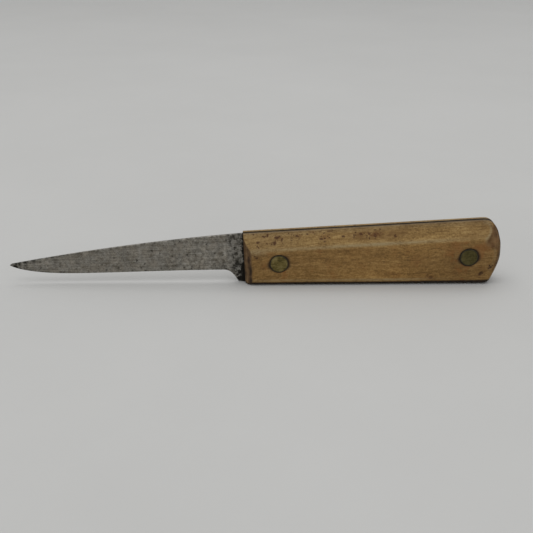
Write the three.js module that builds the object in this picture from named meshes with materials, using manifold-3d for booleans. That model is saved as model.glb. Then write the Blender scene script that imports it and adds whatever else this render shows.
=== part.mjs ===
// A paring knife: one steel blade whose tang runs the whole length of the handle between two wooden
// scales, held by two brass rivets. Each rivet is a solid stem pressed into a hollow sleeve.
// Millimetres, +Z up. X runs along the knife, from the tip at -X to the butt at +X, and Y across it.
// The knife stands spine up on the flat bottom of its handle, the plane Z = 0.
import * as THREE from "three";
import { mergeVertices } from "three/addons/utils/BufferGeometryUtils.js";
import Module from "manifold-3d";

// Blade, along X from the front of the scales, and up from the bottom of the handle
const BLADE_LENGTH = 92.6;
const STEEL_THICKNESS = 1.25;
const TIP_THICKNESS = 0.7;
const EDGE_THICKNESS = 0.2;
const RICASSO_LENGTH = 7.2;
const SPINE_SLOPE = 0.082;
const SPINE_DROP = 0.4;
const TIP_HEIGHT = 7.35;
const TIP_BLUNTING = 0.8;
const TIP_ANGLE = THREE.MathUtils.degToRad(28);
const BELLY_FROM_TIP = 24.5;
const BELLY_HEIGHT = 3.85;
const EDGE_HEIGHT_AT_HEEL = 4.95;
const CHOIL_RADIUS = 5;
const HEEL_LENGTH = 1.85;
const HEEL_SLOPE = THREE.MathUtils.degToRad(57);
// How far each end of the edge's two curves holds its direction, as a share of that curve's length
const TIP_HOLD = 0.2;
const BELLY_HOLD = 0.4;
const HOLLOW_HOLD = 0.25;
const HEEL_HOLD = 0.35;

// Handle
const HANDLE_LENGTH = 101.6;
const HANDLE_THICKNESS = 10.4;
const HANDLE_FRONT_HEIGHT = 21;
const HANDLE_BUTT_HEIGHT = 26.5;
const FRONT_SLANT = 3.3;
const FRONT_LEAN = 0.8;
const FRONT_FLAT_WIDTH = 1.5;
const TOP_FLAT_WIDTH = 1.5;
const BEVEL_HEIGHT = 7;
const RIDGE_SOFTENING = 2.2;
const EDGE_ROUND = 2.4;
const BUTT_APEX_HEIGHT = 12.25;
const BUTT_FOOT_SETBACK = 3.75;
const BUTT_FOOT_SLOPE = THREE.MathUtils.degToRad(67);
const BUTT_FOOT_EASE = 0.4;
const BUTT_TOP_SETBACK = 7.2;
// How far each end of the curve over the top of the butt holds its direction, as a share of its side
const BUTT_SIDE_HOLD = 0.38;
const BUTT_TOP_HOLD = 0.87;

// Rivets
const FRONT_RIVET_INSET = 14.2;
const FRONT_RIVET_HEIGHT = 9.45;
const REAR_RIVET_INSET = 12.6;
const REAR_RIVET_HEIGHT = 11.65;
const HEAD_DIAMETER = 7.14;
const HEAD_THICKNESS = 1.3;
const SLEEVE_DIAMETER = 4.4;
const STEM_DIAMETER = 2.8;
const STEM_CHAMFER = 0.3;

// Clearances
const HEAD_CLEARANCE = 0.1;
const SLEEVE_CLEARANCE = 0.1;
const STEM_CLEARANCE = 0.1;
const RIVET_END_GAP = 0.4;

// Fineness of curves: steps on each curved stretch, on a round-over and round a rivet
const CURVE_STEPS = 10;
const ROUND_STEPS = 5;
const RIVET_STEPS = 32;
// Vertices closer than this are one
const WELD = 1e-4;
// Stock that a cut takes away, past the finished face
const STOCK = 5;
const ROOF_STOCK = 1;

const X_TIP = -(BLADE_LENGTH + HANDLE_LENGTH) / 2;
const X_FRONT = X_TIP + BLADE_LENGTH;
const X_BUTT = X_FRONT + HANDLE_LENGTH;
const X_RICASSO = X_FRONT - RICASSO_LENGTH;
const TANG_SIDE = STEEL_THICKNESS / 2;
const HANDLE_SIDE = HANDLE_THICKNESS / 2;
const TOP_SLOPE = (HANDLE_BUTT_HEIGHT - HANDLE_FRONT_HEIGHT) / HANDLE_LENGTH;

const topHeight = (x) => HANDLE_FRONT_HEIGHT + TOP_SLOPE * (x - X_FRONT);

const wasm = await Module();
wasm.setup();

// A closed geometry as a solid that can be joined and cut.
function solid(geometry) {
  const bare = geometry.clone();
  bare.deleteAttribute("normal");
  bare.deleteAttribute("uv");
  const merged = mergeVertices(bare, WELD);
  return new wasm.Manifold(
    new wasm.Mesh({
      numProp: 3,
      vertProperties: new Float32Array(merged.attributes.position.array),
      triVerts: new Uint32Array(merged.index.array),
    }),
  );
}

// A solid back as a geometry with flat shading.
function geometryOf(cut) {
  const mesh = cut.getMesh();
  const indexed = new THREE.BufferGeometry();
  indexed.setAttribute("position", new THREE.BufferAttribute(mesh.vertProperties, 3));
  indexed.setIndex(new THREE.BufferAttribute(mesh.triVerts, 1));
  const geometry = indexed.toNonIndexed();
  geometry.computeVertexNormals();
  return geometry;
}

// A side view, drawn in X and Z, as a plate of a given thickness centred on the plane Y = 0.
// Its outer edges are rounded over by a given radius.
function plate(sideView, thickness, roundOver) {
  const geometry = new THREE.ExtrudeGeometry(sideView, {
    depth: thickness - 2 * roundOver,
    bevelEnabled: roundOver > 0,
    bevelThickness: roundOver,
    bevelSize: roundOver,
    bevelOffset: -roundOver,
    bevelSegments: ROUND_STEPS,
    curveSegments: CURVE_STEPS,
  });
  geometry.translate(0, 0, roundOver - thickness / 2);
  return geometry.rotateX(Math.PI / 2);
}

// The outline that the tang and the scales share, from the bottom of the handle round the butt to the top:
// a rounded foot, a nearly straight lower stretch that swells to the apex, and a full curve over to the
// top line. The foot's radius leaves room inside it for the round-over of the handle's edges.
function drawButt(path) {
  const radius = EDGE_ROUND + BUTT_FOOT_EASE;
  const tangent = radius * Math.tan(BUTT_FOOT_SLOPE / 2);
  const xFoot = X_BUTT - BUTT_FOOT_SETBACK;
  path.lineTo(xFoot - tangent, 0);
  path.absarc(xFoot - tangent, radius, radius, -Math.PI / 2, BUTT_FOOT_SLOPE - Math.PI / 2, false);
  path.quadraticCurveTo(X_BUTT, BUTT_FOOT_SETBACK * Math.tan(BUTT_FOOT_SLOPE), X_BUTT, BUTT_APEX_HEIGHT);
  const xTop = X_BUTT - BUTT_TOP_SETBACK;
  const xControl = xTop + BUTT_TOP_HOLD * BUTT_TOP_SETBACK;
  const sideControl = BUTT_APEX_HEIGHT + BUTT_SIDE_HOLD * (topHeight(xTop) - BUTT_APEX_HEIGHT);
  path.bezierCurveTo(X_BUTT, sideControl, xControl, topHeight(xControl), xTop, topHeight(xTop));
}

// The choil is an arc that turns the level edge down into the sloping front of the heel.
const CHOIL_TANGENT = CHOIL_RADIUS * Math.tan(HEEL_SLOPE / 2);
const X_HEEL_FOOT = X_FRONT - HEEL_LENGTH;
const X_EDGE_END = X_HEEL_FOOT - EDGE_HEIGHT_AT_HEEL / Math.tan(HEEL_SLOPE) - CHOIL_TANGENT;
const X_BELLY = X_TIP + BELLY_FROM_TIP;

// The cutting edge, from the tip down to the belly and on, with the slight hollow that sharpening
// leaves, to the start of the choil.
const HEEL_STRETCH = X_EDGE_END - X_BELLY;
const tipHold = TIP_HOLD * BELLY_FROM_TIP;
const edgeFromTip = new THREE.CubicBezierCurve(
  new THREE.Vector2(X_TIP, TIP_HEIGHT),
  new THREE.Vector2(X_TIP + tipHold, TIP_HEIGHT - tipHold * Math.tan(TIP_ANGLE)),
  new THREE.Vector2(X_BELLY - BELLY_HOLD * BELLY_FROM_TIP, BELLY_HEIGHT),
  new THREE.Vector2(X_BELLY, BELLY_HEIGHT),
);
const edgeToHeel = new THREE.CubicBezierCurve(
  new THREE.Vector2(X_BELLY, BELLY_HEIGHT),
  new THREE.Vector2(X_BELLY + HOLLOW_HOLD * HEEL_STRETCH, BELLY_HEIGHT),
  new THREE.Vector2(X_EDGE_END - HEEL_HOLD * HEEL_STRETCH, EDGE_HEIGHT_AT_HEEL),
  new THREE.Vector2(X_EDGE_END, EDGE_HEIGHT_AT_HEEL),
);

// The spine, a shallow bow from just below the top of the scales to just behind the tip. Its middle control
// point lies halfway along, so that its parameter runs evenly with X.
const SPINE_LENGTH = BLADE_LENGTH - TIP_BLUNTING;
const SPINE_START = HANDLE_FRONT_HEIGHT - SPINE_DROP;
const spine = new THREE.QuadraticBezierCurve(
  new THREE.Vector2(X_FRONT, SPINE_START),
  new THREE.Vector2(X_FRONT - SPINE_LENGTH / 2, SPINE_START - (SPINE_SLOPE * SPINE_LENGTH) / 2),
  new THREE.Vector2(X_FRONT - SPINE_LENGTH, TIP_HEIGHT + TIP_BLUNTING),
);
const spineHeight = (x) => spine.getPoint((X_FRONT - x) / SPINE_LENGTH).y;

// The blade and tang in side view. The tang's top sinks from flush at the butt to the spine at the front.
function bladeOutline() {
  const outline = new THREE.Shape();
  outline.moveTo(X_HEEL_FOOT, 0);
  drawButt(outline);
  outline.lineTo(X_FRONT, SPINE_START);
  outline.curves.push(spine);
  outline.currentPoint.copy(spine.v2);
  outline.quadraticCurveTo(X_TIP, TIP_HEIGHT + TIP_BLUNTING / 2, X_TIP, TIP_HEIGHT);
  outline.curves.push(edgeFromTip, edgeToHeel);
  outline.currentPoint.copy(edgeToHeel.v3);
  const centreHeight = EDGE_HEIGHT_AT_HEEL - CHOIL_RADIUS;
  outline.absarc(X_EDGE_END, centreHeight, CHOIL_RADIUS, Math.PI / 2, Math.PI / 2 - HEEL_SLOPE, true);
  outline.closePath();
  return outline;
}

// A closed body through sections of equal point counts, each counterclockwise as seen from +X.
function loft(sections) {
  const count = sections[0].length;
  const last = (sections.length - 1) * count;
  const cap = THREE.ShapeUtils.triangulateShape(
    sections[0].map((p) => new THREE.Vector2(p.y, p.z)),
    [],
  );
  const index = [];
  for (const [a, b, c] of cap) index.push(c, b, a, last + a, last + b, last + c);
  for (let i = 0; i < last; i += count) {
    for (let j = 0; j < count; j++) {
      const a = i + j;
      const b = i + ((j + 1) % count);
      index.push(a, b, b + count, a, b + count, a + count);
    }
  }
  return new THREE.BufferGeometry().setFromPoints(sections.flat()).setIndex(index);
}

// What grinding takes off one flank: a flat grind from the spine, which thins towards the tip, to the edge.
function grind(side) {
  const edgeLine = [...edgeFromTip.getPoints(CURVE_STEPS), ...edgeToHeel.getPoints(CURVE_STEPS).slice(1)];
  const stations = [
    new THREE.Vector2(X_TIP - STOCK, TIP_HEIGHT),
    ...edgeLine.filter((point) => point.x < X_RICASSO),
    new THREE.Vector2(X_RICASSO, EDGE_HEIGHT_AT_HEEL),
  ];
  const outside = side * (TANG_SIDE + STOCK);
  const edgeSide = (side * EDGE_THICKNESS) / 2;
  const sections = stations.map(({ x, y: edgeHeight }) => {
    const share = (x - X_TIP) / (X_RICASSO - X_TIP);
    const spineSide = (side * THREE.MathUtils.lerp(TIP_THICKNESS, STEEL_THICKNESS, share)) / 2;
    const top = spineHeight(x);
    const section = [
      new THREE.Vector3(x, outside, edgeHeight - STOCK),
      new THREE.Vector3(x, outside, top + STOCK),
      new THREE.Vector3(x, spineSide, top + STOCK),
      new THREE.Vector3(x, spineSide, top),
      new THREE.Vector3(x, edgeSide, edgeHeight),
      new THREE.Vector3(x, edgeSide, edgeHeight - STOCK),
    ];
    return side > 0 ? section : section.reverse();
  });
  return solid(loft(sections));
}

// The handle's blank in side view, with stock in front of the scales.
function handleOutline() {
  const outline = new THREE.Shape();
  const xStock = X_FRONT - EDGE_ROUND - STOCK;
  outline.moveTo(xStock, 0);
  drawButt(outline);
  outline.lineTo(xStock, topHeight(xStock));
  outline.closePath();
  return outline;
}

// A roof over the whole handle: two bevels that fall from the narrow top to the sides, parallel to the
// top line, each running into its side over a softened ridge.
function roof() {
  const topEdge = TANG_SIDE + TOP_FLAT_WIDTH;
  const lean = (HANDLE_SIDE - topEdge) / BEVEL_HEIGHT;
  const shape = new THREE.Shape();
  const low = -HANDLE_BUTT_HEIGHT - STOCK;
  const wide = HANDLE_SIDE + STOCK;
  const softenTop = new THREE.Vector2(HANDLE_SIDE - lean * RIDGE_SOFTENING, RIDGE_SOFTENING - BEVEL_HEIGHT);
  const softenLow = -BEVEL_HEIGHT - RIDGE_SOFTENING;
  shape.moveTo(-wide, low);
  shape.lineTo(wide, low);
  shape.lineTo(wide, softenLow);
  shape.lineTo(HANDLE_SIDE, softenLow);
  shape.quadraticCurveTo(HANDLE_SIDE, -BEVEL_HEIGHT, softenTop.x, softenTop.y);
  shape.lineTo(topEdge - lean * ROOF_STOCK, ROOF_STOCK);
  shape.lineTo(lean * ROOF_STOCK - topEdge, ROOF_STOCK);
  shape.lineTo(-softenTop.x, softenTop.y);
  shape.quadraticCurveTo(-HANDLE_SIDE, -BEVEL_HEIGHT, -HANDLE_SIDE, softenLow);
  shape.lineTo(-wide, softenLow);
  shape.closePath();
  const start = X_FRONT - EDGE_ROUND - 2 * STOCK;
  const geometry = new THREE.ExtrudeGeometry(shape, {
    depth: X_BUTT + STOCK - start,
    bevelEnabled: false,
    curveSegments: ROUND_STEPS,
  });
  const along = new THREE.Vector3(1, 0, TOP_SLOPE);
  const basis = new THREE.Matrix4().makeBasis(
    new THREE.Vector3(0, 1, 0),
    new THREE.Vector3(0, 0, 1),
    along,
  );
  geometry.applyMatrix4(basis);
  return geometry.translate(start, 0, topHeight(start));
}

// The handle from above: each scale's front end is square beside the blade, then slants back to its outer
// face.
function planOutline() {
  const flatSide = TANG_SIDE + FRONT_FLAT_WIDTH;
  const slantPerSide = FRONT_SLANT / (HANDLE_SIDE - flatSide);
  const xSlant = X_FRONT + slantPerSide * (HANDLE_SIDE + STOCK - flatSide);
  const wide = HANDLE_SIDE + STOCK;
  const outline = new THREE.Shape();
  outline.moveTo(X_FRONT, -flatSide);
  outline.lineTo(xSlant, -wide);
  outline.lineTo(X_BUTT + STOCK, -wide);
  outline.lineTo(X_BUTT + STOCK, wide);
  outline.lineTo(xSlant, wide);
  outline.lineTo(X_FRONT, flatSide);
  outline.closePath();
  return outline;
}

// The plan as a block that stands from below the handle to above it. Its front leans: it is at the front of
// the handle at the top, and set back from there at the bottom.
function planBlock() {
  const geometry = new THREE.ExtrudeGeometry(planOutline(), {
    depth: HANDLE_BUTT_HEIGHT + 2 * STOCK,
    bevelEnabled: false,
  });
  geometry.translate(0, 0, -STOCK - HANDLE_FRONT_HEIGHT);
  const upright = new THREE.Vector3(-FRONT_LEAN / HANDLE_FRONT_HEIGHT, 0, 1);
  geometry.applyMatrix4(
    new THREE.Matrix4().makeBasis(new THREE.Vector3(1, 0, 0), new THREE.Vector3(0, 1, 0), upright),
  );
  return geometry.translate(0, 0, HANDLE_FRONT_HEIGHT);
}

// Both scales as they are shaped together, before the tang parts them.
function handleBody() {
  return solid(plate(handleOutline(), HANDLE_THICKNESS, EDGE_ROUND))
    .intersect(solid(roof()))
    .intersect(solid(planBlock()));
}

// One side of the handle, outside the tang: side -1 is the left scale, +1 the right one.
function halfSpace(side) {
  const span = BLADE_LENGTH + HANDLE_LENGTH + 2 * STOCK;
  const depth = HANDLE_SIDE + STOCK;
  const box = new THREE.BoxGeometry(span, depth, span);
  return solid(box.translate(0, side * (TANG_SIDE + depth / 2), 0));
}

// A turned piece or cut on a rivet's axis, which runs along Y, from its [radius, y] profile.
function turned(profile) {
  return new THREE.LatheGeometry(
    profile.map(([radius, y]) => new THREE.Vector2(radius, y)),
    RIVET_STEPS,
  );
}

const HEAD_RADIUS = HEAD_DIAMETER / 2;
const SLEEVE_RADIUS = SLEEVE_DIAMETER / 2;
const STEM_RADIUS = STEM_DIAMETER / 2;
const BORE_RADIUS = STEM_RADIUS + STEM_CLEARANCE;
const HEAD_SEAT = HANDLE_SIDE - HEAD_THICKNESS;

// The solid half: a flat head flush with the left scale, and a stem with a chamfered end.
const stemGeometry = () =>
  turned([
    [0, -HANDLE_SIDE],
    [HEAD_RADIUS, -HANDLE_SIDE],
    [HEAD_RADIUS, -HEAD_SEAT],
    [STEM_RADIUS, -HEAD_SEAT],
    [STEM_RADIUS, HEAD_SEAT - RIVET_END_GAP - STEM_CHAMFER],
    [STEM_RADIUS - STEM_CHAMFER, HEAD_SEAT - RIVET_END_GAP],
    [0, HEAD_SEAT - RIVET_END_GAP],
  ]);

// The hollow half: a flat head flush with the right scale, and a sleeve open towards the left one.
const sleeveGeometry = () =>
  turned([
    [0, HEAD_SEAT],
    [BORE_RADIUS, HEAD_SEAT],
    [BORE_RADIUS, RIVET_END_GAP - HEAD_SEAT],
    [SLEEVE_RADIUS, RIVET_END_GAP - HEAD_SEAT],
    [SLEEVE_RADIUS, HEAD_SEAT],
    [HEAD_RADIUS, HEAD_SEAT],
    [HEAD_RADIUS, HANDLE_SIDE],
    [0, HANDLE_SIDE],
  ]);

// The stepped hole that a rivet fills: a counterbore for each head and a passage for the sleeve.
function rivetHole(place) {
  const headHole = HEAD_RADIUS + HEAD_CLEARANCE;
  const sleeveHole = SLEEVE_RADIUS + SLEEVE_CLEARANCE;
  const geometry = turned([
    [0, -HANDLE_SIDE - STOCK],
    [headHole, -HANDLE_SIDE - STOCK],
    [headHole, -HEAD_SEAT],
    [sleeveHole, -HEAD_SEAT],
    [sleeveHole, HEAD_SEAT],
    [headHole, HEAD_SEAT],
    [headHole, HANDLE_SIDE + STOCK],
    [0, HANDLE_SIDE + STOCK],
  ]);
  return solid(geometry.translate(place.x, place.y, place.z));
}

const rivetPlaces = {
  front: new THREE.Vector3(X_FRONT + FRONT_RIVET_INSET, 0, FRONT_RIVET_HEIGHT),
  rear: new THREE.Vector3(X_BUTT - REAR_RIVET_INSET, 0, REAR_RIVET_HEIGHT),
};
const rivetHoles = Object.values(rivetPlaces).map(rivetHole);
const drilled = (blank) => rivetHoles.reduce((rest, hole) => rest.subtract(hole), blank);

const steel = new THREE.MeshStandardMaterial({ color: 0x68645d, roughness: 0.5, metalness: 1 });
const wood = new THREE.MeshStandardMaterial({ color: 0x8a6c45, roughness: 0.6, metalness: 0 });
const brass = new THREE.MeshStandardMaterial({ color: 0x6e6238, roughness: 0.5, metalness: 1 });

function piece(name, geometry, material) {
  const mesh = new THREE.Mesh(geometry, material.clone());
  mesh.name = name;
  return mesh;
}

const knife = new THREE.Group();

const flatBlank = solid(plate(bladeOutline(), STEEL_THICKNESS, 0));
const groundBlank = flatBlank.subtract(grind(-1)).subtract(grind(1));
knife.add(piece("blade", geometryOf(drilled(groundBlank)), steel));

const body = handleBody();
knife.add(piece("left_scale", geometryOf(drilled(body.intersect(halfSpace(-1)))), wood));
knife.add(piece("right_scale", geometryOf(drilled(body.intersect(halfSpace(1)))), wood));

for (const [name, place] of Object.entries(rivetPlaces)) {
  const rivet = new THREE.Group();
  rivet.position.copy(place);
  rivet.add(piece(`${name}_rivet_stem`, stemGeometry(), brass));
  rivet.add(piece(`${name}_rivet_sleeve`, sleeveGeometry(), brass));
  knife.add(rivet);
}

export default knife;
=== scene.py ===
"""A paring knife after years of use: a slim ground blade gone dull grey, two worn hardwood scales with
beveled tops on a full tang, and brass rivets ground flush and tarnished.

The knife stands spine up on the flat bottom of its handle. X runs from the tip to the butt, Y from the left
scale to the right one, Z up to the spine. Shapes are worked out in millimetres, and MM turns them into the
frame's metres as each mesh is made.
"""
import math
from collections import namedtuple

import bpy
import numpy as np
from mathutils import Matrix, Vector


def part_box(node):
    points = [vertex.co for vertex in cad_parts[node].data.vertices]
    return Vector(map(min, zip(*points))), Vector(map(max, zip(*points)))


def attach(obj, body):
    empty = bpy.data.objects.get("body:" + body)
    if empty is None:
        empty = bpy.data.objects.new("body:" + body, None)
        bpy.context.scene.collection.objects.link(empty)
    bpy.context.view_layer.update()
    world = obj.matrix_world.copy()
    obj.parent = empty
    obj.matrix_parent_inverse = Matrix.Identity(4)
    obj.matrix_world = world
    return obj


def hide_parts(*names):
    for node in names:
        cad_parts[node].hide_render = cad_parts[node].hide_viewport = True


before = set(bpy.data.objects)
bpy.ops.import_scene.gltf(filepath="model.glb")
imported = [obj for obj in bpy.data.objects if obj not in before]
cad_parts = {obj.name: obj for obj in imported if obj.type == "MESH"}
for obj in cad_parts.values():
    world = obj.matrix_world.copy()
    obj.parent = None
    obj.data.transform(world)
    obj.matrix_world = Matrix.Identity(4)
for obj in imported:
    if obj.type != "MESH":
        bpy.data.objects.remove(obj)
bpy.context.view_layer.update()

MM = 0.001


def node_box(node):
    """A CAD node's lowest and highest corner, in millimetres."""
    low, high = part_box(node)
    return np.array(low) / MM, np.array(high) / MM


# Sizes read from the frame
blade_low, blade_high = node_box("blade")
scale_low, scale_high = node_box("left_scale")
X_TIP = blade_low[0]
X_FRONT = scale_low[0]
X_BUTT = blade_high[0]
HANDLE_SIDE = -scale_low[1]
TANG_SIDE = -scale_high[1]
RIVET_BOXES = {place: node_box(f"{place}_rivet_stem") for place in ("front", "rear")}
RIVET_CENTRES = {place: (low + high) / 2 for place, (low, high) in RIVET_BOXES.items()}
HEAD_RADIUS = (RIVET_BOXES["front"][1][0] - RIVET_BOXES["front"][0][0]) / 2

# Blade
TIP_HALF = 0.35
EDGE_HALF = 0.08
RICASSO_LENGTH = 7.2
PLUNGE_WIDTH = 1.6
PLUNGE_BEND = 11
PLUNGE_SWEEP = 6.7
SPINE_SLOPE = 0.082
SPINE_DROP = 0.4
SPINE_ROUND = 0.2
TIP_HEIGHT = 7.35
TIP_BLUNTING = 0.8
TIP_ANGLE = math.radians(28)
BELLY_FROM_TIP = 24.5
BELLY_HEIGHT = 3.85
EDGE_HEIGHT_AT_HEEL = 4.95
CHOIL_RADIUS = 5
HEEL_LENGTH = 1.85
HEEL_SLOPE = math.radians(57)
TIP_HOLD = 0.2
BELLY_HOLD = 0.4
HOLLOW_HOLD = 0.25
HEEL_HOLD = 0.35

# Handle
FRONT_HEIGHT = 21
BUTT_HEIGHT = 26.5
FRONT_SLANT = 3.3
FRONT_LEAN = 0.8
FRONT_FLAT_WIDTH = 1.5
FRONT_SWELL = 0.45
FRONT_FOOT_ROUND = 0.75
LEAST_WOOD = 0.5
TOP_FLAT_WIDTH = 1.5
TOP_WEAR = 0.18
TOP_ROUND = 0.2
BEVEL_HEIGHT = 7
RIDGE_SOFTNESS = 0.42
ARRIS_SOFTNESS = 0.25
EDGE_ROUND = 2.4
FACE_FALL = 0.3
FACE_FALL_HEIGHT = 10
CORNER_FALL = 3.2
CORNER_REACH = 7
CORNER_FOOT = 14
CORNER_TOP = 20.5
BUTT_APEX_HEIGHT = 12.25
BUTT_FOOT_SETBACK = 3.75
BUTT_FOOT_SLOPE = math.radians(67)
BUTT_FOOT_EASE = 0.4
BUTT_TOP_SETBACK = 7.2
BUTT_SIDE_HOLD = 0.38
BUTT_TOP_HOLD = 0.87

# Rivets
HEAD_THICKNESS = 1.3
HEAD_ROUND = 0.25
HEAD_SINK = 0.05
SLEEVE_RADIUS = 2.2
STEM_RADIUS = 1.4
STEM_CHAMFER = 0.3
CLEARANCE = 0.1
RIVET_END_GAP = 0.4
RIM_DROP = 0.18

# Sizes that follow from these
X_RICASSO = X_FRONT - RICASSO_LENGTH
SPINE_START = FRONT_HEIGHT - SPINE_DROP
HEAD_SEAT = HANDLE_SIDE - HEAD_THICKNESS
TOP_SLOPE = (BUTT_HEIGHT - FRONT_HEIGHT) / (X_BUTT - X_FRONT)

# Fineness of the grids
SCALE_ROWS = 110
SCALE_COLUMNS = 400
BLADE_ROWS = 72
BLADE_COLUMNS = 400
TIP_CROWDING = 1.6
FIRST_COLUMN = 0.02
TANG_COLUMNS = 130
ROUND_COLUMNS = 12
CURVE_POINTS = 60
BUTT_POINTS = 1200
RIVET_STEPS = 96
HEAD_RINGS = (0, 0.3, 0.6, 0.75, 0.9)
HEAD_ROUND_STEPS = 6
SHARP_ANGLE = math.radians(38)

# The share of a hole's radius where the first points inside it go, a length that stands for none, how far
# from the butt its distance still matters, and a distance beyond everything
INNER_RIM = 0.995
TINY = 1e-9
BUTT_NEARNESS = 4 * EDGE_ROUND + BUTT_TOP_SETBACK
FAR = 99.0

# Marks on each scale. Pits: X, how far below the top line, length, height and how thickly they lie.
# Blotches: the same, and how dark they are. Nicks: X, Z, size and how dark they are.
LEFT_MARKS = {
    "pits": (
        (9.6, 2.4, 3, 1.6, 0.5), (6, 2.6, 6.5, 2.2, 0.35), (16.4, 1.4, 2.4, 0.8, 0.8),
        (27.4, 2.6, 2.6, 1.5, 0.7), (24, 0.6, 6, 0.5, 0.6), (45, 2.8, 6.5, 1.4, 0.45),
    ),
    "blotches": (
        (8.9, 1.9, 1.1, 0.65, 1), (7.9, 3.7, 0.6, 1, 1), (10.7, 2.5, 0.55, 0.55, 1),
        (10, 1.5, 0.4, 0.4, 0.9), (1.5, 3.2, 0.8, 0.55, 0.85), (3.7, 1.2, 0.8, 0.4, 0.9),
        (16.6, 1.7, 0.8, 0.4, 1), (14.5, 2.6, 0.6, 0.9, 0.55), (20.7, 1.1, 0.6, 0.3, 0.8),
        (23, 0.7, 0.3, 0.3, 0.9), (23.7, 1.3, 0.5, 0.3, 0.6), (28.9, 0.5, 0.4, 0.3, 0.9),
        (26.1, 3.2, 0.8, 0.35, 0.8), (27.3, 4.1, 0.9, 0.35, 0.7), (34.8, 2.7, 0.9, 0.45, 0.7),
        (39, 2.9, 0.6, 0.8, 0.75), (41.6, 2.3, 0.7, 0.5, 0.7), (45, 2.2, 0.8, 0.5, 0.8),
        (47, 3.3, 0.8, 0.6, 0.6),
    ),
    "nicks": (
        (0.1, 12.5, 0.4, 0.7), (0.9, 11.9, 0.45, 0.8), (93.4, 7.3, 0.42, 1), (92.9, 8, 0.4, 1),
        (94, 7.9, 0.4, 1), (92.7, 6.9, 0.3, 0.8), (89.7, 4.6, 0.9, 0.8), (90.1, 4.9, 0.7, 0.8),
        (68.6, 3.9, 0.5, 0.4), (70, 3, 0.8, 0.5),
    ),
    # Strength of the painted shade and dirt along the seam at the top line
    "seam_shade_and_dirt": 0.8,
    "seed": 11,
}
RIGHT_MARKS = {
    "pits": ((24, 3.8, 12, 2.6, 0.45), (62, 3.4, 16, 2.4, 0.42), (86, 5, 3, 2.4, 0.5)),
    "blotches": (
        (22, 3, 0.8, 0.5, 0.9), (24.5, 2.2, 0.5, 0.4, 0.8), (58, 2.8, 0.9, 0.5, 0.8),
        (60.5, 4, 0.5, 0.7, 0.7), (84, 2.4, 0.7, 0.4, 0.8),
    ),
    "nicks": ((30, 5, 0.6, 0.6), (88, 9, 0.7, 0.7)),
    # Strength of the painted shade and dirt along the seam at the top line
    "seam_shade_and_dirt": 0.2,
    "seed": 12,
}
# Nicks: depth, random stretch, furthest turn in radians, steepness of the walls, the size of the smear round
# them, and how strong that smear and the dirt in them are
NICK_DEPTH = 0.25
NICK_STRETCH = (0.8, 1.3)
NICK_TURN = 1.2
NICK_WALL = (0.15, 0.7)
NICK_HALO = 2
NICK_SMEAR = 0.6
NICK_GRIME = 0.6

# Places on the wood and on the steel that are paler or darker than the rest: X, Z, length, height, amount
PALE_WOOD = (
    (67, 16.5, 10, 4, 0.75), (58, 4, 10, 3.5, 0.55), (31, 20.5, 4, 3, 0.3),
    (25, 15.5, 9, 3, -0.35), (49, 15.5, 4, 3, -0.3), (27, 4, 9, 4, -0.2),
    (79, 10.5, 3, 4, -0.3),
)
PALE_STEEL = ((-24, 7, 4.5, 3, 0.35),)
DARK_STEEL = (
    (-12.6, 6.5, 2.2, 3, 0.4), (-30.5, 9, 3.5, 5, 0.16), (-81, 8.5, 7, 3, 0.16),
    (-90, 9, 3.5, 0.8, 0.4), (-88.5, 7, 2.5, 1, -0.3),
)

# Looks that change over the scales and the blade are made of bells and steps. A bell is its middle, its width
# and, unless that is 1, its height. A step is where it begins, where it is full and, unless 1, its height.

# The grain's slope at the front end, towards which it runs down, and where that begins
GRAIN_SLOPE = 0.3
GRAIN_TURN = 26.0
# Where the bevel's colour begins below the top line, and where the wood is paler along X and up Z
BEVEL_COLOUR = (BEVEL_HEIGHT + 0.9, BEVEL_HEIGHT - 1.0)
PALE_MIDDLE = (44, 24)
PALE_FRONT = (0, 14, 0.25)
PALE_UPPER = (6, 13, 0.3)
MOST_PALE = 1.5
# End grain: past the front end's arris, in from the butt, past the eased corner's arris, how much of it shows
# on that corner and how much of the bevel's colour goes there, and how far below the top line both begin
FRONT_END = (-0.05, 0.2)
BUTT_END = (2.2, 1.2, 0.8)
BUTT_END_UP = (4, 9)
CORNER_END = (-0.1, 0.25)
CORNER_END_GRAIN = 0.7
CORNER_OFF_BEVEL = 0.8
UNDER_RIM = (0.8, 3.2)
# Rubbed wood and painted highlights: the ridge, rubbed and with a painted highlight, the top line, the bevel
# near the front, the eased corner's arris, rubbed and with a painted highlight, a painted highlight just
# above the painted shade at the foot, inside the butt, and a greyish patch below the ridge at the front
# The ridge's pale line: rubbed wood and a painted highlight
RIDGE_RUB_AND_HIGHLIGHT = (6.25, 0.65)
RIDGE_RUB_AND_HIGHLIGHT_LEAST = 0.55
RIDGE_RUB_AND_HIGHLIGHT_ALONG = (50, 24, 0.5)
RIDGE_RUB_AND_HIGHLIGHT_END = (X_BUTT - 6, X_BUTT - 27)
TOP_RUB = (0.7, 0.7, 0.35)
TOP_EDGE_RUB = (0.4, 0.05, 0.25)
BEVEL_RUB = (3.5, 2.5, 0.3)
BEVEL_RUB_ALONG = (4, 14)
# The eased corner's pale arris: rubbed wood and a painted highlight
CORNER_RUB_AND_HIGHLIGHT = (-0.1, 0.22)
CORNER_RUB_AND_HIGHLIGHT_UP = (15, 18)
CORNER_RUB_AND_HIGHLIGHT_REACH = (CORNER_REACH, 5)
# A painted highlight just above the painted shade at the foot, where the rounded edge turns away from the
# light
FOOT_HIGHLIGHT = (0.5, 0.5)
FOOT_HIGHLIGHT_FRONT = (10, 24, 0.5)
FOOT_HIGHLIGHT_MIDDLE = (52, 18)
BUTT_RUB = (2.5, 0.5, 0.4)
BUTT_RUB_FOOT = (4, 8)
BUTT_RUB_TOP = (18, 15)
FRONT_RUB = (7.2, 1.3, 0.8)
FRONT_RUB_ALONG = (0.5, 4)
# Rusty smears on the bevel
SMEAR = (2.6, 1.8)
SMEAR_ALONG = (48, 10.5)
REAR_SMEAR_ALONG = (88, 6, 0.25)
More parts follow.
